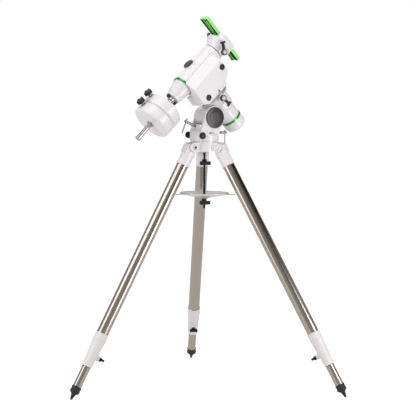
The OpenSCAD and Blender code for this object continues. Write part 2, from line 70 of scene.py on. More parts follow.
EAST = Vector((1, 0, 0))
UP = Vector((0, 0, 1))
ALONG_Y = turn(-90, "X")      # a shape that stands on z lies along y
ALONG_X = turn(90, "Y")
AGAINST_X = turn(-90, "Y")
AGAINST_Y = turn(90, "X")

# y up the polar axis and z up the declination axis, from their crossing
HEAD = frame_at(JOINTS["polar_axis"]["pos_m"], EAST, JOINTS["declination_axis"]["axis"])
PIVOT = frame_at(JOINTS["latitude_adjust"]["pos_m"], EAST, UP)
azimuth_at = JOINTS["azimuth_adjust"]["pos_m"]
STAND = frame_at((azimuth_at[0], azimuth_at[1], 0), EAST, UP)
# x along the hinge pin, y outwards, z up the leg from the hinge
LEG = {n: frame_at(JOINTS[n + "_leg_fold"]["pos_m"], -Vector(JOINTS[n + "_leg_fold"]["axis"]),
                   -Vector(JOINTS[n + "_leg_extend"]["axis"])) for n in LEGS}


def span(node, place):
    """Lowest and highest corner of a CAD node in a local frame, in millimetres."""
    inside = place.inverted()
    spots = [inside @ v.co for v in NODES[node].data.vertices]
    return (Vector([min(p[i] for p in spots) for i in range(3)]),
            Vector([max(p[i] for p in spots) for i in range(3)]))


# ---- materials ----

# How much of the colour's change is from the clouds; the rest is from the grain
CLOUD_SHARE = 0.5
# How far the roughness goes to each side of its middle
ROUGH_SPREAD = 0.15
# The pointiness over which an edge goes to its worn colour
WORN_FROM, WORN_TO = 0.53, 0.62
# In metres
RELIEF_DEPTH = 0.0002


def shader_node(mat, kind, **values):
    """A node of that kind with its properties or inputs set."""
    node = mat.node_tree.nodes.new(kind)
    for key, value in values.items():
        if hasattr(node, key):
            setattr(node, key, value)
        else:
            node.inputs[key.replace("_", " ")].default_value = value
    return node


def finish_material(name, base, rough, metal=0.0, coat=0.0, coat_rough=0.1, spread=0.06,
                    cloud=18.0, grain=900.0, bump=0.02, stretch=None, along=None,
                    specular=0.5, edge=0.0):
    """A finish with clouded colour and roughness, a fine grain in its bump, and lighter worn edges.
    stretch draws the grain out, along turns it so that its z follows a leg or an axis."""
    mat = bpy.data.materials.new(name)
    mat.use_nodes = True
    tree = mat.node_tree
    shader = tree.nodes["Principled BSDF"]
    shader.inputs["Metallic"].default_value = metal
    shader.inputs["Coat Weight"].default_value = coat
    shader.inputs["Coat Roughness"].default_value = coat_rough
    shader.inputs["Specular IOR Level"].default_value = specular
    where = shader_node(mat, "ShaderNodeTexCoord")
    place = shader_node(mat, "ShaderNodeMapping")
    if along is not None:
        place.vector_type = "TEXTURE"
        place.inputs["Rotation"].default_value = along.to_quaternion().to_euler()
    tree.links.new(where.outputs["Object"], place.inputs["Vector"])
    drawn = shader_node(mat, "ShaderNodeMapping")
    drawn.inputs["Scale"].default_value = stretch or (1, 1, 1)
    tree.links.new(place.outputs["Vector"], drawn.inputs["Vector"])

    clouds = shader_node(mat, "ShaderNodeTexNoise", Scale=cloud, Detail=4.0, Roughness=0.6)
    fine = shader_node(mat, "ShaderNodeTexNoise", Scale=grain, Detail=3.0, Roughness=0.55)
    tree.links.new(place.outputs["Vector"], clouds.inputs["Vector"])
    tree.links.new(drawn.outputs["Vector"], fine.inputs["Vector"])

    low = [c * (1 - spread) for c in base]
    high = [min(1.0, c * (1 + spread * 0.6)) for c in base]
    colours = shader_node(mat, "ShaderNodeMix", data_type="RGBA")
    colours.inputs[6].default_value = (*low, 1)
    colours.inputs[7].default_value = (*high, 1)
    blend = shader_node(mat, "ShaderNodeMath", operation="MULTIPLY_ADD")
    blend.inputs[1].default_value = 1 - CLOUD_SHARE
    tree.links.new(fine.outputs["Fac"], blend.inputs[0])
    part = shader_node(mat, "ShaderNodeMath", operation="MULTIPLY")
    part.inputs[1].default_value = CLOUD_SHARE
    tree.links.new(clouds.outputs["Fac"], part.inputs[0])
    tree.links.new(part.outputs[0], blend.inputs[2])
    tree.links.new(blend.outputs[0], colours.inputs["Factor"])
    colour = colours.outputs[2]
    if edge:
        worn = shader_node(mat, "ShaderNodeMix", data_type="RGBA")
        geometry = shader_node(mat, "ShaderNodeNewGeometry")
        ramp = shader_node(mat, "ShaderNodeMapRange")
        ramp.inputs["From Min"].default_value = WORN_FROM
        ramp.inputs["From Max"].default_value = WORN_TO
        ramp.inputs["To Max"].default_value = edge
        tree.links.new(geometry.outputs["Pointiness"], ramp.inputs["Value"])
        tree.links.new(ramp.outputs["Result"], worn.inputs["Factor"])
        tree.links.new(colour, worn.inputs[6])
        worn.inputs[7].default_value = (*[min(1, c * 1.6 + 0.1) for c in base], 1)
        colour = worn.outputs[2]
    tree.links.new(colour, shader.inputs["Base Color"])

    gloss = shader_node(mat, "ShaderNodeMapRange")
    gloss.inputs["To Min"].default_value = rough * (1 - ROUGH_SPREAD)
    gloss.inputs["To Max"].default_value = rough * (1 + ROUGH_SPREAD)
    tree.links.new(blend.outputs[0], gloss.inputs["Value"])
    tree.links.new(gloss.outputs["Result"], shader.inputs["Roughness"])

    relief = shader_node(mat, "ShaderNodeBump", Strength=bump * 10, Distance=RELIEF_DEPTH)
    tree.links.new(fine.outputs["Fac"], relief.inputs["Height"])
    tree.links.new(relief.outputs["Normal"], shader.inputs["Normal"])
    return mat


BRUSHED = (1, 1, 0.02)
ENAMEL = (0.84, 0.83, 0.855)
TAUPE = (0.48, 0.445, 0.40)
enamel = finish_material("white_enamel", ENAMEL, 0.34, coat=0.5, coat_rough=0.12, spread=0.012,
                         cloud=9, grain=1400, bump=0.006)
satin_white = finish_material("white_casting", (0.80, 0.79, 0.80), 0.42, coat=0.2, spread=0.03,
                              cloud=20, grain=1600, bump=0.02)
tube_steel = {n: finish_material(n + "_tube_steel", TAUPE, 0.20, metal=1, spread=0.04, cloud=7,
                                 grain=1500, bump=0.004, stretch=BRUSHED, along=LEG[n])
              for n in LEGS}
turned_steel = finish_material("turned_steel", (0.55, 0.54, 0.55), 0.24, metal=1, spread=0.06,
                               grain=2200, bump=0.01)
chrome = finish_material("chrome", (0.48, 0.48, 0.50), 0.20, metal=1, spread=0.02, grain=500,
                         bump=0.002)
dull_steel = finish_material("dull_steel", (0.30, 0.29, 0.29), 0.30, metal=1, spread=0.08,
                             grain=2200, bump=0.01)
# Dark brown for the insides of sockets: painted shade
socket_painted_shade = finish_material("bolt_socket_painted_shade", (0.09, 0.06, 0.045), 0.70, spread=0.15, cloud=60,
                             grain=2600, bump=0.03, specular=0.05)
black_plastic = finish_material("black_plastic", (0.008, 0.008, 0.009), 0.34, spread=0.25,
                                cloud=60, grain=2600, bump=0.03, edge=0.12, specular=0.35)
dark_satin = finish_material("dark_satin", (0.022, 0.019, 0.027), 0.30, coat=0.12, spread=0.12,
                             cloud=40, grain=2400, bump=0.03, edge=0.2)
# The pivot caps' centre: the dark satin made lighter and warmer, partly its own tone and partly a painted
# reflection of the glossy dome
sheen_and_tone_satin = finish_material("cap_centre", (0.050, 0.041, 0.041), 0.34, coat=0.12, spread=0.10,
                             cloud=60, grain=2600, bump=0.03)
black_steel = finish_material("black_oxide", (0.022, 0.022, 0.024), 0.30, metal=0.6, spread=0.2,
                              grain=1800, bump=0.02, edge=0.3)
green_metal = finish_material("green_anodised", (0.035, 0.36, 0.035), 0.20, metal=0.85, coat=0.3,
                              spread=0.03, cloud=25, grain=1500, bump=0.004, edge=0.1,
                              stretch=(1, 0.03, 1), along=HEAD)
# The dovetail bar's green: its own anodised green raised to the brightness of its lit west face, a painted lit
# copy of green_metal
green_painted_lit = finish_material("green_lit_copy", (0.38, 0.96, 0.27), 0.36, metal=0.0, spread=0.03,
                               cloud=25, grain=1500, bump=0.004, edge=0.1,
                               stretch=(1, 0.03, 1), along=HEAD)
# A near-black shaded copy of the bar's green, painted under the bar as shade
green_painted_shade = finish_material("green_shaded", (0.0, 0.035, 0.006), 0.60, specular=0.02, spread=0.1,
                             cloud=25, grain=1500, bump=0.01, stretch=(1, 0.03, 1), along=HEAD)
ring_metal = finish_material("ring_metal", (0.50, 0.485, 0.455), 0.38, metal=0.4, spread=0.08,
                             grain=1900, bump=0.015, edge=0.2)
brass = finish_material("brass", (0.66, 0.56, 0.36), 0.26, metal=1, spread=0.08, grain=1400,
                        bump=0.01)
rubber = finish_material("foot_rubber", (0.018, 0.018, 0.018), 0.55, spread=0.3, cloud=80,
                         grain=2200, bump=0.08)
tray_paint = finish_material("tray_paint", (0.70, 0.69, 0.70), 0.36, coat=0.25, spread=0.04,
                             cloud=14, grain=1200, bump=0.02, edge=0.1)
vial_glass = finish_material("vial_liquid", (0.55, 0.52, 0.10), 0.08, coat=1.0, coat_rough=0.03,
                             spread=0.1, cloud=200, grain=900, bump=0.002)
ink = finish_material("engraved_ink", (0.03, 0.03, 0.032), 0.5, spread=0.2, grain=2500)
pale_ink = finish_material("pale_ink", (0.72, 0.72, 0.70), 0.5, spread=0.05, grain=2500)

NODE_FINISH = {
    enamel: ["tripod_hub", "north_leg_casting", "west_leg_casting", "east_leg_casting",
             "azimuth_base", "polar_housing", "polar_cap", "declination_housing", "drive_cover",
             "port_panel", "upper_weight", "lower_weight", "saddle"],
    satin_white: ["north_clamp", "west_clamp", "east_clamp"],
    turned_steel: ["azimuth_peg", "polar_shaft", "declination_shaft", "altitude_axle",
                   "leg_hinge_pins"],
    chrome: ["south_altitude_bolt", "south_tommy_bar", "weight_shaft"],
    dull_steel: ["north_altitude_bolt", "north_tommy_bar"],
    black_plastic: ["mount_knob", "tray_knob", "north_leg_lock", "west_leg_lock",
                    "east_leg_lock", "shaft_lock_ring", "upper_weight_knob",
                    "lower_weight_knob", "saddle_knob", "polar_clutch_lever",
                    "declination_clutch_lever", "west_azimuth_screw", "east_azimuth_screw",
                    "drive_motors", "cover_plugs", "window_plug"],
    dark_satin: ["pivot_caps"],
    black_steel: ["centre_rod"],
    green_metal: ["polar_accent_ring", "declination_accent_ring"],
    green_painted_lit: ["dovetail_bar"],
    ring_metal: ["setting_ring"],
    brass: ["polar_worm_wheel"],
    rubber: ["north_foot", "west_foot", "east_foot"],
    tray_paint: ["spreader_tray"],
    vial_glass: ["spirit_level"],
}
for n in LEGS:
    NODE_FINISH[tube_steel[n]] = [n + "_upper_tube", n + "_lower_tube"]

# The radius of the rounded edges in millimetres
EDGE_RADIUS = {"drive_cover": 3.0, "azimuth_base": 2.0, "tripod_hub": 1.6, "polar_housing": 2.2,
               "declination_housing": 2.0, "saddle": 0.8, "upper_weight": 1.2,
               "lower_weight": 1.2, "dovetail_bar": 0.6, "spreader_tray": 0.8,
               "north_leg_casting": 2.2, "west_leg_casting": 2.2, "east_leg_casting": 2.2,
               "port_panel": 1.2, "setting_ring": 0.8, "polar_cap": 1.5}
OTHER_EDGES = 0.7
BEVEL_STEPS = 3
SHARP_FROM = 33             # degrees
CAD_WELD = 0.00002          # metres


def soften(obj, width_mm):
    """Rounds the sharp edges of a CAD node and smooths its shading."""
    weld = obj.modifiers.new("weld", "WELD")
    weld.merge_threshold = CAD_WELD
    round_off = obj.modifiers.new("edges", "BEVEL")
    round_off.width = width_mm * MM
    round_off.segments = BEVEL_STEPS
    round_off.limit_method = "ANGLE"
    round_off.angle_limit = math.radians(SHARP_FROM)
    round_off.harden_normals = False
    shade = obj.modifiers.new("shade", "WEIGHTED_NORMAL")
    shade.weight = 100
    shade.keep_sharp = False


for material, names in NODE_FINISH.items():
    for name in names:
        node = NODES[name]
        node.data.materials.clear()
        node.data.materials.append(material)
        soften(node, EDGE_RADIUS.get(name, OTHER_EDGES))


# ---- making pieces ----

PIECE_WELD = 0.0005         # metres
CORNER_SHARE = 0.45         # of a side, the most that one rounded corner takes up
HEX_FLAT = 0.94             # of a socket's radius, from its centre to a flat side


def rounded(points, radius, closed=False, steps=4):
    """An outline with its corners rounded off."""
    points = [Vector(p) for p in points]
    out = []
    last = len(points) - 1
    for i, corner in enumerate(points):
        if not closed and i in (0, last):
            out.append(corner)
            continue
        before, after = points[i - 1], points[(i + 1) % len(points)]
        reach = min(radius, (before - corner).length * CORNER_SHARE,
                    (after - corner).length * CORNER_SHARE)
        start = corner + (before - corner).normalized() * reach
        end = corner + (after - corner).normalized() * reach
        for k in range(steps + 1):
            t = k / steps
            out.append(start * (1 - t) ** 2 + corner * 2 * t * (1 - t) + end * t ** 2)
    return [tuple(p) for p in out]


@contextmanager
def piece(name, material, body, replaced=()):
    """Opens a mesh for a piece's shapes, in metres in the row frame. Once they are in it, the
    piece is made from it and rides on a body."""
    bm = bmesh.new()
    yield bm
    bmesh.ops.remove_doubles(bm, verts=bm.verts, dist=PIECE_WELD)
    bmesh.ops.recalc_face_normals(bm, faces=bm.faces)
    mesh = bpy.data.meshes.new(name)
    bm.to_mesh(mesh)
    bm.free()
    for polygon in mesh.polygons:
        polygon.use_smooth = True
    mesh.set_sharp_from_angle(angle=math.radians(38))
    obj = bpy.data.objects.new(name, mesh)
    scene.collection.objects.link(obj)
    mesh.materials.append(material)
    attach(obj, body)
    if replaced:
        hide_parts(*replaced)


def add_turned(bm, points, place, around=64, ripple=None):
    """Revolves [radius, height] points about z. ripple(angle, radius) may change a radius."""
    rows = []
    for r, h in points:
        if r < 0.001:
            rows.append([bm.verts.new(place @ Vector((0, 0, h)))])
            continue
        row = []
        for k in range(around):
            a = 2 * math.pi * k / around
            reach = ripple(a, r) if ripple else r
            row.append(bm.verts.new(place @ Vector((reach * math.cos(a), reach * math.sin(a), h))))
        rows.append(row)
    for low, high in zip(rows, rows[1:]):
        for k in range(around):
            corners = [low[k % len(low)], low[(k + 1) % len(low)],
                       high[(k + 1) % len(high)], high[k % len(high)]]
            corners = list(dict.fromkeys(corners))
            if len(corners) > 2:
                bm.faces.new(corners)


def add_tube(bm, rows):
    """Joins rings of points, each to the next, and closes both ends."""
    count = len(rows[0])
    for below, above in zip(rows, rows[1:]):
        for k in range(count):
            bm.faces.new([below[k], below[(k + 1) % count], above[(k + 1) % count], above[k]])
    bm.faces.new(rows[0][::-1])
    bm.faces.new(rows[-1])


def add_prism(bm, outline, low, high, place, edge=0.0, steps=3):
    """A closed outline in x and y, carried from z = low to high, with rounded rims."""
    centre = sum((Vector(p) for p in outline), Vector((0, 0))) / len(outline)
    if edge == 0:
        levels = [(low, 0.0), (high, 0.0)]
    else:
        levels = []
        for k in range(steps, -1, -1):
            a = math.pi / 2 * k / steps
            levels.append((low + edge * (1 - math.sin(a)), edge * (1 - math.cos(a))))
        levels += [(low + high - z, inset) for z, inset in levels[::-1]]
    rows = []
    for z, inset in levels:
        row = []
        for p in outline:
            out = Vector(p) - centre
            q = centre + out * max(0.0, 1 - inset / max(out.length, 0.01))
            row.append(bm.verts.new(place @ Vector((q.x, q.y, z))))
        rows.append(row)
    add_tube(bm, rows)


def add_box(bm, x_span, y_span, z_span, place):
    """A block, from the lowest and highest x, y and z."""
    (x0, x1), (y0, y1) = x_span, y_span
    add_prism(bm, [(x0, y0), (x1, y0), (x1, y1), (x0, y1)], *z_span, place)


def add_socket_screw(bm, place, head_r, head_h, socket_r):
    """A cap screw standing on z = 0 with a hexagonal socket."""
    profile = rounded([(0.0, 0.0), (head_r, 0.0), (head_r, head_h), (socket_r, head_h)], 0.5)
    add_turned(bm, profile, place, around=24)

    def to_hexagon(a, r):
        part = (a + math.pi / 6) % (math.pi / 3) - math.pi / 6
        return r * HEX_FLAT / math.cos(part)
    floor_h = head_h - 1.6
    add_turned(bm, [(socket_r * 1.06, head_h - 0.02), (socket_r, floor_h), (0.0, floor_h)], place,
               around=24, ripple=to_hexagon)


def add_thread(bm, place, radius, low, high, pitch, depth, around):
    """A threaded rod along z."""
    rows_per_turn = 6
    count = int((high - low) / pitch * rows_per_turn)
    rows = []
    for i in range(count + 1):
        h = low + (high - low) * i / count
        row = []
        for k in range(around):
            a = 2 * math.pi * k / around
            phase = (h / pitch - k / around) % 1.0
            reach = radius - depth * abs(2 * phase - 1)
            row.append(bm.verts.new(place @ Vector((reach * math.cos(a), reach * math.sin(a), h))))
        rows.append(row)
    add_tube(bm, rows)


def add_tick(bm, place, length, width, height):
    """A thin raised mark: length along y, width along x."""
    add_box(bm, (-width / 2, width / 2), (-length / 2, length / 2), (0, height), place)


def ring_profile(inner, outer, low, high, soft=0.4):
    """The closed profile of a ring, for add_turned."""
    corners = [(inner, low), (outer, low), (outer, high), (inner, high)]
    return rounded(corners, soft) + [(inner, low)]


def turned_piece(name, points, place, material, body, around=64):
    with piece(name, material, body) as bm:
        add_turned(bm, points, place, around)


# ---- pieces ----

BODY_OF = {n: b for b, names in frame["record"]["behaviour"]["bodies"].items() for n in names}


def spot_of(joint, place=HEAD):
    """Where a joint's axis stands, in the millimetres of a local frame."""
    return place.inverted() @ Vector(JOINTS[joint]["pos_m"])


def on_west(x, p, d):
    """Stands a shape on the west side of the head."""
    return HEAD @ move(x, p, d) @ AGAINST_X


# The dark seam between the declination barrel and the saddle
saddle_bottom = span("saddle", HEAD)[0].z
turned_piece("declination_seam_ring",
             ring_profile(inner=34.5, outer=37.4, low=saddle_bottom + 0.2, high=saddle_bottom + 2.8),
             HEAD, black_plastic, BODY_OF["saddle"])

# Clutch hubs: a steel washer round a screw, and a light collar behind the polar one
COLLAR_BEHIND_LEVER = 9.4
for axis in ("polar", "declination"):
    lever = axis + "_clutch_lever"
    hub = spot_of(axis + "_clutch_turn")
    place = on_west(span(lever, HEAD)[0].x, hub.y, hub.z)
    turned_piece(lever + "_washer", ring_profile(inner=4.6, outer=9.0, low=-0.2, high=1.0), place,
                 chrome, BODY_OF[lever])
    with piece(lever + "_screw", enamel, BODY_OF[lever]) as bm:
        add_socket_screw(bm, place, head_r=4.4, head_h=1.8, socket_r=2.2)
polar_hub = spot_of("polar_clutch_turn")
collar_x = span("polar_clutch_lever", HEAD)[0].x + COLLAR_BEHIND_LEVER
turned_piece("polar_clutch_collar",
             ring_profile(inner=12.2, outer=15.6, low=-4.0, high=0.4, soft=1.0),
             on_west(collar_x, polar_hub.y, polar_hub.z), enamel, BODY_OF["polar_housing"])

# The steel collar that the lock's two wings stand on
lock_low, lock_high = span("shaft_lock_ring", HEAD)
turned_piece("shaft_lock_collar",
             ring_profile(inner=9.3, outer=14.0, low=-0.4, high=lock_high.z - lock_low.z - 0.3),
             HEAD @ move(0, 0, lock_low.z), turned_steel, BODY_OF["shaft_lock_ring"])

# The saddle's hand knob: a stem, a hub and two wings that stand upright
KNOB_STEM_R, KNOB_STEM_LENGTH = 4.0, 27
KNOB_HUB_R = 7.0
WINGS_TURNED, WING_THICKNESS = -46.5, 11
WING_REACH, WING_R, WING_WAIST = 15.5, 6.5, (5, 4.6)
knob_at = spot_of("saddle_knob_turn")
knob_low, knob_high = span("saddle_knob", HEAD)
place = HEAD @ move(0, knob_at.y, knob_at.z) @ ALONG_X
hub_top = knob_high.x - 9
wings = []
for side, start in ((1, -90), (-1, 90)):
    for k in range(13):
        a = math.radians(start + 15 * k)
        wings.append((side * WING_REACH + WING_R * math.cos(a), WING_R * math.sin(a)))
    wings.append((side * WING_WAIST[0], side * WING_WAIST[1]))
    wings.append((-side * WING_WAIST[0], side * WING_WAIST[1]))
with piece("saddle_knob_wings", black_plastic, BODY_OF["saddle_knob"],
           replaced=("saddle_knob",)) as bm:
    add_turned(bm, [(0.0, knob_low.x), (KNOB_STEM_R, knob_low.x),
                    (KNOB_STEM_R, knob_low.x + KNOB_STEM_LENGTH)], place, around=28)
    hub_bottom = knob_low.x + KNOB_STEM_LENGTH - 1
    add_turned(bm, rounded([(0.0, hub_bottom), (KNOB_HUB_R, hub_bottom),
                            (KNOB_HUB_R + 0.4, hub_top), (0.0, hub_top)], 1.0), place, around=40)
    add_prism(bm, wings, knob_high.x - WING_THICKNESS, knob_high.x,
              place @ turn(WINGS_TURNED, "Z"), edge=1.2)

# Countersunk screws on the drive cover, and rings round its two plugs
COVER_SCREWS = ((-19, 70), (-19, 4), (-19, -68), (-80, 39), (-91, -24))
PLUG_R = 11.5
cover_x = span("drive_cover", HEAD)[0].x
cover_body = BODY_OF["drive_cover"]
plug_low, plug_high = span("cover_plugs", HEAD)
PLUG_SPOTS = ((plug_high.y - PLUG_R, plug_high.z - PLUG_R),
              (plug_low.y + PLUG_R, plug_low.z + PLUG_R))
with piece("cover_screws", turned_steel, cover_body) as bm:
    for p, d in COVER_SCREWS:
        add_socket_screw(bm, on_west(cover_x + 1.6, p, d), head_r=2.3, head_h=2.0, socket_r=1.1)
with piece("plug_rims", enamel, cover_body) as bm:
    for p, d in PLUG_SPOTS:
        add_turned(bm, ring_profile(inner=PLUG_R + 0.4, outer=PLUG_R + 2.0, low=-0.5, high=0.7),
                   on_west(cover_x, p, d))
with piece("plug_faces", black_plastic, cover_body) as bm:
    for p, d in PLUG_SPOTS:
        place = on_west(plug_low.x, p, d)
        add_turned(bm, ring_profile(inner=6.0, outer=7.2, low=-0.6, high=0.35, soft=0.2), place)
        add_turned(bm, rounded([(0.0, 0.0), (2.2, 0.0), (2.2, 0.5), (0.0, 0.5)], 0.3),
                   place @ move(0, 0, -0.1), around=24)

# Port panel: a dark seal under it, and a socket face with its contacts in each port
PORTS = (("upper_port", 26, 36), ("lower_port", 12, 20))
PORT_X = -54
PORT_HALF_WIDTH = 7.0 - 0.6
CONTACTS, CONTACT_STEP = 5, 2
SEAL_WIDTH = 5.0
panel_low, panel_high = span("port_panel", HEAD)
panel_body = BODY_OF["port_panel"]
with piece("port_seal", black_plastic, panel_body) as bm:
    front, back = panel_low.y + 0.5, panel_high.y
    bottom, top = panel_low.z - 1.2, panel_low.z + 0.2
    add_prism(bm, [(bottom, front), (bottom, back), (top, back), (top, front)], 0.0, SEAL_WIDTH,
              HEAD @ move(panel_low.x + 4.8, 0, 0) @ AGAINST_X)
for name, low, high in PORTS:
    half_h = (high - low) / 2 - 0.6
    place = HEAD @ move(PORT_X, panel_low.y + 3.6, (low + high) / 2) @ AGAINST_Y
    face = rounded([(-PORT_HALF_WIDTH, -half_h), (PORT_HALF_WIDTH, -half_h),
                    (PORT_HALF_WIDTH, half_h), (-PORT_HALF_WIDTH, half_h)], 1.2, True)
    with piece(name, black_plastic, panel_body) as bm:
        add_prism(bm, face, 0.0, 0.6, place)
        for k in range(CONTACTS):
            left = -4.4 + CONTACT_STEP * k
            add_box(bm, (left, left + 0.8), (-1.6, 1.6), (0.5, 2.2), place)


# Set screws round the nose of the declination housing and round the saddle
def set_screws(name, body, radius, height, lean, angles, screw_r=1.5):
    """A piece of sunk set screws, round the declination axis."""
    profile = [(0.0, -1.5), (screw_r, -1.5), (screw_r, 0.25), (screw_r * 0.55, 0.25),
               (screw_r * 0.45, -0.6), (0.0, -0.6)]
    with piece(name, ink, body) as bm:
        for angle in angles:
            place = HEAD @ turn(angle, "Z") @ move(radius, 0, height) @ turn(90 + lean, "Y")
            add_turned(bm, profile, place, around=20)


set_screws("nose_set_screws", BODY_OF["declination_housing"], radius=36.2, height=-88, lean=-10,
           angles=(20, 110, 138, 200, 290))
set_screws("saddle_set_screws", BODY_OF["saddle"], radius=38.0, height=saddle_bottom + 11, lean=0,
           angles=(120, 150, 60, 300))
set_screws("saddle_block_screws", BODY_OF["saddle"], radius=46.0, height=saddle_bottom + 32.6,
           lean=33, angles=(140, 165, 40, 320), screw_r=2.0)

# The dark window plug: a ring and a coin slot
place = HEAD @ move(0, span("window_plug", HEAD)[1].y, 0) @ ALONG_Y
coin_slot = rounded([(-7, -0.9), (7, -0.9), (7, 0.9), (-7, 0.9)], 0.8, True)
with piece("window_plug_face", black_plastic, BODY_OF["window_plug"]) as bm:
    add_turned(bm, ring_profile(inner=13.5, outer=15.0, low=-0.5, high=0.5, soft=0.3), place)
    add_prism(bm, coin_slot, -0.4, 0.45, place)

# Counterweights: a turned bush under the lower one, and a brass stem and a cap on each knob
SHAFT_R = 9.0
turned_piece("weight_bush",
             ring_profile(inner=SHAFT_R + 0.5, outer=14.5, low=-3.6, high=1.0, soft=0.8),
             HEAD @ move(0, 0, span("lower_weight", HEAD)[0].z), chrome, BODY_OF["lower_weight"])
for which in ("upper", "lower"):
    knob = which + "_weight_knob"
    hub = spot_of(knob + "_turn")
    place = HEAD @ move(0, 0, hub.z) @ ALONG_Y
    weight_top = span(which + "_weight", HEAD)[1].y
    turned_piece(knob + "_stem",
                 ring_profile(inner=3.8, outer=5.0, low=weight_top - 6, high=hub.y + 0.5), place,
                 brass, BODY_OF[knob], around=32)
    top = span(knob, HEAD)[1].y
    turned_piece(knob + "_cap", [(0.0, top - 0.4), (6.4, top - 0.4), (6.0, top + 0.5),
                                 (4.0, top + 1.0), (0.0, top + 1.1)], place, dark_satin,
                 BODY_OF[knob], around=32)

# The dovetail bar: dark strips of painted shade under it, its groove, and two stop screws at each end
GROOVE_HALF = 5.6
STOP_SCREW_X, STOP_SCREW_IN = 13, 5.5
bar_low, bar_high = span("dovetail_bar", HEAD)
bar_body = BODY_OF["dovetail_bar"]
bar_length = (bar_low.y + 0.6, bar_high.y - 0.6)
# Thin dark plates either side of the groove: painted shade on the bar's underside
with piece("bar_underside_painted_shade", green_painted_shade, bar_body) as bm:
    for width in ((bar_low.x + 0.8, -GROOVE_HALF - 1), (GROOVE_HALF + 1, bar_high.x - 0.8)):
        add_box(bm, width, bar_length, (bar_low.z - 0.25, bar_low.z + 0.2), HEAD)
with piece("bar_groove_floor", green_metal, bar_body) as bm:
    add_box(bm, (-GROOVE_HALF, GROOVE_HALF), bar_length, (bar_low.z + 3.2, bar_low.z + 4.2), HEAD)
with piece("bar_stop_screws", black_steel, bar_body) as bm:
    for p in (bar_low.y + STOP_SCREW_IN, bar_high.y - STOP_SCREW_IN):
        place = HEAD @ move(0, p, bar_low.z) @ turn(180, "X")
        for x in (-STOP_SCREW_X, STOP_SCREW_X):
            add_socket_screw(bm, place @ move(x, 0, 0), head_r=3.4, head_h=3.2, socket_r=1.8)

# Hinge bolts: a washer, a bolt head and a dark disc of painted shade in its socket, on both sides of each leg.
# The three pins are one node, so each leg measures the points near its own hinge.
HINGE_REACH = 40
hinge_ends = []
for n in LEGS:
    inside = LEG[n].inverted()
    near = [p for p in (inside @ v.co for v in NODES["leg_hinge_pins"].data.vertices)
            if p.length < HINGE_REACH]
    out = max(abs(p.x) for p in near)
    hinge_ends += [(LEG[n] @ turn(side_turn, "Y"), out) for side_turn in (90, -90)]
tripod_body = BODY_OF["tripod_hub"]
with piece("hinge_washers", enamel, tripod_body) as bm:
    for place, out in hinge_ends:
        add_turned(bm, ring_profile(inner=8.3, outer=13.6, low=out - 4.4, high=out - 2.6, soft=0.6),
                   place)
with piece("hinge_bolt_heads", turned_steel, tripod_body) as bm:
    for place, out in hinge_ends:
        add_turned(bm, [(8.4, out - 3.0), (8.4, out - 0.3), (7.6, out + 0.5), (5.8, out + 0.5),
                        (5.4, out - 0.2)], place, around=40)
# A flat dark disc just under each bolt's rim: painted shade in place of a deep socket
with piece("hinge_bolt_sockets", socket_painted_shade, tripod_body) as bm:
    for place, out in hinge_ends:
        add_turned(bm, [(0.0, out + 0.06), (5.5, out + 0.06), (5.6, out - 0.2)], place, around=40)

# Altitude pivot caps: a rim and a slightly domed centre disc, lighter and warmer than the rim, partly its own tone
# and partly painted reflection
cap_edge = span("pivot_caps", PIVOT)[1]
cap_body = BODY_OF["pivot_caps"]
for name, side_turn in (("east", 90), ("west", -90)):
    place = PIVOT @ turn(side_turn, "Y") @ move(0, 0, cap_edge.x)
    turned_piece(name + "_cap_rim",
                 ring_profile(inner=35.0, outer=cap_edge.y - 0.1, low=-4.0, high=-1.6, soft=0.9),
                 place, dark_satin, cap_body, around=96)
    turned_piece(name + "_cap_disc", [(0.0, 0.5), (17.0, 0.5), (26.0, -0.1), (27.0, -0.7)], place,
                 sheen_and_tone_satin, cap_body, around=96)

# The threaded centre rod and its washer under the hub
rod_low, rod_high = span("centre_rod", STAND)
with piece("centre_rod_thread", black_steel, BODY_OF["centre_rod"],
           replaced=("centre_rod",)) as bm:
    add_thread(bm, STAND, rod_high.x, rod_low.z, rod_high.z, pitch=2.0, depth=0.7, around=24)
turned_piece("hub_washer",
             ring_profile(inner=rod_high.x + 0.6, outer=15, low=-2.4, high=0.2, soft=0.5),
             STAND @ move(0, 0, span("tripod_hub", STAND)[0].z + 0.2), turned_steel, tripod_body)

# Azimuth knobs with fluted rims
FLUTES, FLUTE_DEPTH, FLUTED_FROM = 16, 0.05, 10.5


def fluted(angle, radius):
    """Sinks the flutes into a knob's rim and leaves its face round."""
    if radius <= FLUTED_FROM:
        return radius
    return radius * (1 - FLUTE_DEPTH * (0.5 + 0.5 * math.cos(FLUTES * angle)))


for n, side_turn in (("west", -90), ("east", 90)):
    node = n + "_azimuth_screw"
    low, high = span(node, STAND)
    place = STAND @ move(0, (low.y + high.y) / 2, (low.z + high.z) / 2) @ turn(side_turn, "Y")
    near, far = sorted((abs(low.x), abs(high.x)))
    knob = rounded([(0.0, far - 11.5), (12.2, far - 11.5), (13.0, far - 10), (13.0, far - 4.2),
                    (10.0, far - 1.4), (6.0, far - 0.5), (0.0, far)], 1.2)
    with piece(node + "_knob", black_plastic, BODY_OF[node], replaced=(node,)) as bm:
        add_turned(bm, [(0.0, near), (4.0, near), (4.0, far - 10)], place, around=28)
        add_turned(bm, knob, place, around=128, ripple=fluted)

# Spirit level: a brass ring round the vial, with its bubble
level_low, level_high = span("spirit_level", STAND)
level_at = STAND @ move((level_low.x + level_high.x) / 2, (level_low.y + level_high.y) / 2, 0)
level_r = (level_high.x - level_low.x) / 2
turned_piece("level_ring", ring_profile(inner=level_r - 0.4, outer=level_r + 1.6,
                                        low=level_low.z - 0.6, high=level_high.z + 0.5, soft=0.5),
             level_at, brass, BODY_OF["spirit_level"], around=40)
turned_piece("level_bubble", [(1.4, level_high.z - 0.1), (1.2, level_high.z + 0.3),
                              (0.0, level_high.z + 0.4)],
             level_at, pale_ink, BODY_OF["spirit_level"], around=24)

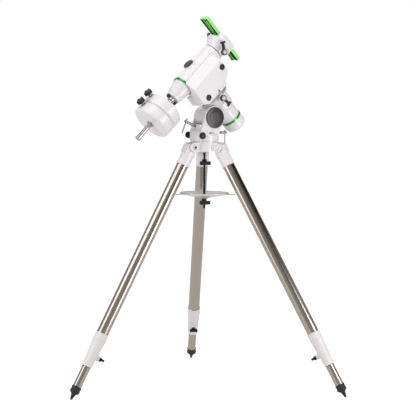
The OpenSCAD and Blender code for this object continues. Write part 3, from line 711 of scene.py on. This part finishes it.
# Graduations on the setting ring, and on the fork by the pivot cap
RING_MARKS, LONG_RING_MARK = 72, 6
LATITUDE_MARKS, LONG_LATITUDE_MARK, LATITUDE_STEP = 11, 5, 4
FIRST_LATITUDE_MARK = -20
FORK_X = -38.0
ring_high = span("setting_ring", HEAD)[1]
with piece("setting_ring_marks", ink, BODY_OF["setting_ring"]) as bm:
    for k in range(RING_MARKS):
        length = 4.0 if k % LONG_RING_MARK else 7.0
        place = HEAD @ turn(360 / RING_MARKS * k, "Y")
        place = place @ move(ring_high.x - 0.25, ring_high.y - 1 - length / 2, 0) @ ALONG_X
        add_tick(bm, place, length, width=0.6, height=0.4)
with piece("latitude_marks", ink, BODY_OF["azimuth_base"]) as bm:
    for k in range(LATITUDE_MARKS):
        length = 2.0 if k % LONG_LATITUDE_MARK else 3.4
        place = PIVOT @ turn(FIRST_LATITUDE_MARK + LATITUDE_STEP * k, "X")
        place = place @ move(FORK_X + 0.15, cap_edge.y + 0.9 + length / 2, 0) @ AGAINST_X
        add_tick(bm, place, length, width=0.5, height=0.35)

# The polar cap: two grip beads and its pressed centre
BEADS_FROM_END = (9, 13)
cap_low, cap_high = span("polar_cap", HEAD)
for k, back in enumerate(BEADS_FROM_END):
    p = cap_high.y - back
    turned_piece("polar_cap_bead_%d" % (k + 1),
                 ring_profile(inner=cap_high.x - 0.6, outer=cap_high.x + 0.5, low=p, high=p + 1.8,
                              soft=0.6),
                 HEAD @ ALONG_Y, enamel, BODY_OF["polar_cap"], around=96)
turned_piece("polar_cap_centre",
             ring_profile(inner=14, outer=15.5, low=cap_low.y - 0.25, high=cap_low.y + 0.5,
                          soft=0.3),
             HEAD @ ALONG_Y, satin_white, BODY_OF["polar_cap"])

# Legs: rims on the castings and clamps, a seal below each clamp, and a collar on each lock
# and foot
for n in LEGS:
    place = LEG[n]
    leg_body = BODY_OF[n + "_leg_casting"]
    end = span(n + "_leg_casting", place)[0].z
    with piece(n + "_casting_rim", enamel, leg_body) as bm:
        add_turned(bm, ring_profile(inner=23.0, outer=24.9, low=end, high=end + 4.5, soft=1.0),
                   place)
    clamp_low, clamp_high = span(n + "_clamp", place)
    top = clamp_high.z
    with piece(n + "_clamp_rims", satin_white, leg_body) as bm:
        add_turned(bm, ring_profile(inner=24.0, outer=25.9, low=top - 5.0, high=top - 0.2,
                                    soft=1.0), place)
        add_turned(bm, ring_profile(inner=23.8, outer=25.6, low=top - 27.0, high=top - 24.0,
                                    soft=1.0), place)
    turned_piece(n + "_clamp_seal",
                 ring_profile(inner=16.1, outer=17.3, low=clamp_low.z - 1.4,
                              high=clamp_low.z + 0.4),
                 place, black_plastic, leg_body)
    lock = spot_of(n + "_leg_lock_turn", place)
    turned_piece(n + "_lock_collar",
                 ring_profile(inner=8.8, outer=10.2, low=26.0, high=30.6, soft=0.8),
                 place @ move(0, 0, lock.z) @ AGAINST_Y, satin_white, leg_body, around=40)
    top = span(n + "_foot", place)[1].z
    turned_piece(n + "_foot_collar",
                 ring_profile(inner=16.6, outer=18.0, low=top - 6.0, high=top - 1.0, soft=0.8),
                 place, rubber, BODY_OF[n + "_foot"])

# Two small screws on the base's west side
BASE_SCREWS = ((8, 18), (-8, 30))       # y, and the height above the base's foot
base_z = span("azimuth_base", STAND)[0].z
with piece("base_screws", turned_steel, BODY_OF["azimuth_base"]) as bm:
    for y, up in BASE_SCREWS:
        add_socket_screw(bm, STAND @ move(FORK_X + 0.8, y, base_z + up) @ AGAINST_X, head_r=2.6,
                         head_h=1.6, socket_r=1.3)


# ---- camera ----

# Angles in degrees
CAMERA_AZIMUTH = 235.03
CAMERA_ELEVATION = 4.803
CAMERA_ROLL = 0.461
# In metres, with the target measured from the azimuth axis
CAMERA_DISTANCE = 6.4412
TARGET_ASIDE = 0.01482
TARGET_HEIGHT = 0.6703
FAR_CLIP = 100
# In millimetres
CAMERA_LENS = 147.97
SENSOR_WIDTH = 36

azimuth, elevation = math.radians(CAMERA_AZIMUTH), math.radians(CAMERA_ELEVATION)
look_back = Vector((math.sin(azimuth) * math.cos(elevation),
                    -math.cos(azimuth) * math.cos(elevation), math.sin(elevation)))
look_right = Vector((math.cos(azimuth), math.sin(azimuth), 0))
target = Vector((azimuth_at[0], azimuth_at[1], TARGET_HEIGHT)) + look_right * TARGET_ASIDE
camera_data = bpy.data.cameras.new("camera")
camera_data.lens = CAMERA_LENS
camera_data.sensor_width = SENSOR_WIDTH
camera_data.clip_end = FAR_CLIP
camera = bpy.data.objects.new("camera", camera_data)
scene.collection.objects.link(camera)
camera.location = target + look_back * CAMERA_DISTANCE
camera.rotation_mode = "QUATERNION"
facing = (-look_back).to_track_quat("-Z", "Y").to_matrix()
roll = Matrix.Rotation(math.radians(CAMERA_ROLL), 3, "Z")
camera.rotation_quaternion = (facing @ roll).to_quaternion()
scene.camera = camera

# ---- stage and light ----

scene.view_settings.view_transform = "Standard"
# What the lights and cards face, on the azimuth axis
MIDDLE_HEIGHT = 0.8
MIDDLE = Vector((azimuth_at[0], azimuth_at[1], MIDDLE_HEIGHT))
# The floor's two layers lie just under the feet
FLOOR_Z, BOUNCE_Z = -0.0008, -0.0016


def plane(name, size_x, size_y, place, material):
    """A flat stage piece that isn't part of the object."""
    mesh = bpy.data.meshes.new(name)
    x, y = size_x / 2, size_y / 2
    mesh.from_pydata([(-x, -y, 0), (x, -y, 0), (x, y, 0), (-x, y, 0)], [], [(0, 1, 2, 3)])
    mesh.materials.append(material)
    obj = bpy.data.objects.new(name, mesh)
    scene.collection.objects.link(obj)
    obj.matrix_world = place
    return obj


def stage_material(name, colour, glow, reflect):
    """A matt material that gives off glow times its colour and reflects reflect times it."""
    mat = bpy.data.materials.new(name)
    mat.use_nodes = True
    shader = mat.node_tree.nodes["Principled BSDF"]
    shader.inputs["Base Color"].default_value = (*[c * reflect for c in colour], 1)
    shader.inputs["Roughness"].default_value = 0.9
    shader.inputs["Specular IOR Level"].default_value = 0.1
    shader.inputs["Emission Color"].default_value = (*colour, 1)
    shader.inputs["Emission Strength"].default_value = glow
    return mat


def facing_middle(spot):
    """The place of something at a spot that faces the middle of the object."""
    aim = (spot - MIDDLE).to_track_quat("Z", "Y").to_matrix().to_4x4()
    return Matrix.Translation(spot) @ aim


floor = plane("floor", 60, 60, move(z=FLOOR_Z),
              stage_material("floor", (1, 1, 1), 0.93, 0.30))
floor.visible_diffuse = False
floor.visible_glossy = False
bounce = plane("floor_bounce", 14, 14, move(z=BOUNCE_Z),
               stage_material("floor_bounce", (0.97, 0.93, 0.90), 0.66, 0.25))
bounce.visible_camera = False

# The camera sees white paper all round, and the object sees a dimmer, warmer room
world = bpy.data.worlds.new("studio")
scene.world = world
world.use_nodes = True
nodes, links = world.node_tree.nodes, world.node_tree.links
room = nodes["Background"]
room.inputs["Color"].default_value = (0.95, 0.90, 0.87, 1)
room.inputs["Strength"].default_value = 0.40
paper = nodes.new("ShaderNodeBackground")
paper.inputs["Color"].default_value = (1, 1, 1, 1)
paper.inputs["Strength"].default_value = 1.0
seen = nodes.new("ShaderNodeLightPath")
pick = nodes.new("ShaderNodeMixShader")
links.new(seen.outputs["Is Camera Ray"], pick.inputs[0])
links.new(room.outputs[0], pick.inputs[1])
links.new(paper.outputs[0], pick.inputs[2])
links.new(pick.outputs[0], nodes["World Output"].inputs["Surface"])


def softbox(name, aside, back, height, wide, tall, power, colour):
    """A soft area light that faces the middle. From there it is aside metres to the camera's
    right and back metres towards the camera, and height is above the floor."""
    flat_back = Vector((look_back.x, look_back.y, 0)).normalized()
    data = bpy.data.lights.new(name, "AREA")
    data.shape = "RECTANGLE"
    data.size, data.size_y = wide, tall
    data.energy = power
    data.color = colour
    obj = bpy.data.objects.new(name, data)
    scene.collection.objects.link(obj)
    spot = MIDDLE + look_right * aside + flat_back * back
    obj.matrix_world = facing_middle(Vector((spot.x, spot.y, height)))
    obj.visible_camera = False


softbox("key_left", aside=-2.6, back=1.6, height=1.2, wide=1.6, tall=2.8, power=30,
        colour=(1, 0.99, 1))
softbox("key_right", aside=1.9, back=1.3, height=0.75, wide=0.8, tall=1.6, power=20,
        colour=(1, 0.995, 1))
softbox("left_high", aside=-2.3, back=1.5, height=3.1, wide=3.0, tall=1.1, power=22,
        colour=(1, 0.99, 1))
softbox("top", aside=0.2, back=0.6, height=3.6, wide=2.6, tall=2.6, power=34,
        colour=(1, 1, 1))
softbox("rear", aside=-0.4, back=-2.8, height=3.2, wide=3.0, tall=2.0, power=24,
        colour=(1, 0.98, 0.96))


def dark_card(name, aside, back, up, wide, tall, material):
    """A card that only shows in reflections, as a dark streak on the tubes. Its distances are
    measured from the middle, as a softbox's are, and up is above it."""
    spot = MIDDLE + look_right * aside + look_back * back + UP * up
    card = plane(name, wide, tall, facing_middle(spot), material)
    card.visible_camera = False
    card.visible_diffuse = False
    card.visible_shadow = False


dark_card("dark_card", aside=2.26, back=0.2, up=1.6, wide=4.4, tall=1.1,
          material=stage_material("dark_card", (0, 0, 0), 0, 0))
dark_card("dark_card_low", aside=1.15, back=2.55, up=0.95, wide=1.3, tall=0.9,
          material=stage_material("dark_card_low", (0.10, 0.09, 0.08), 1.0, 0.0))
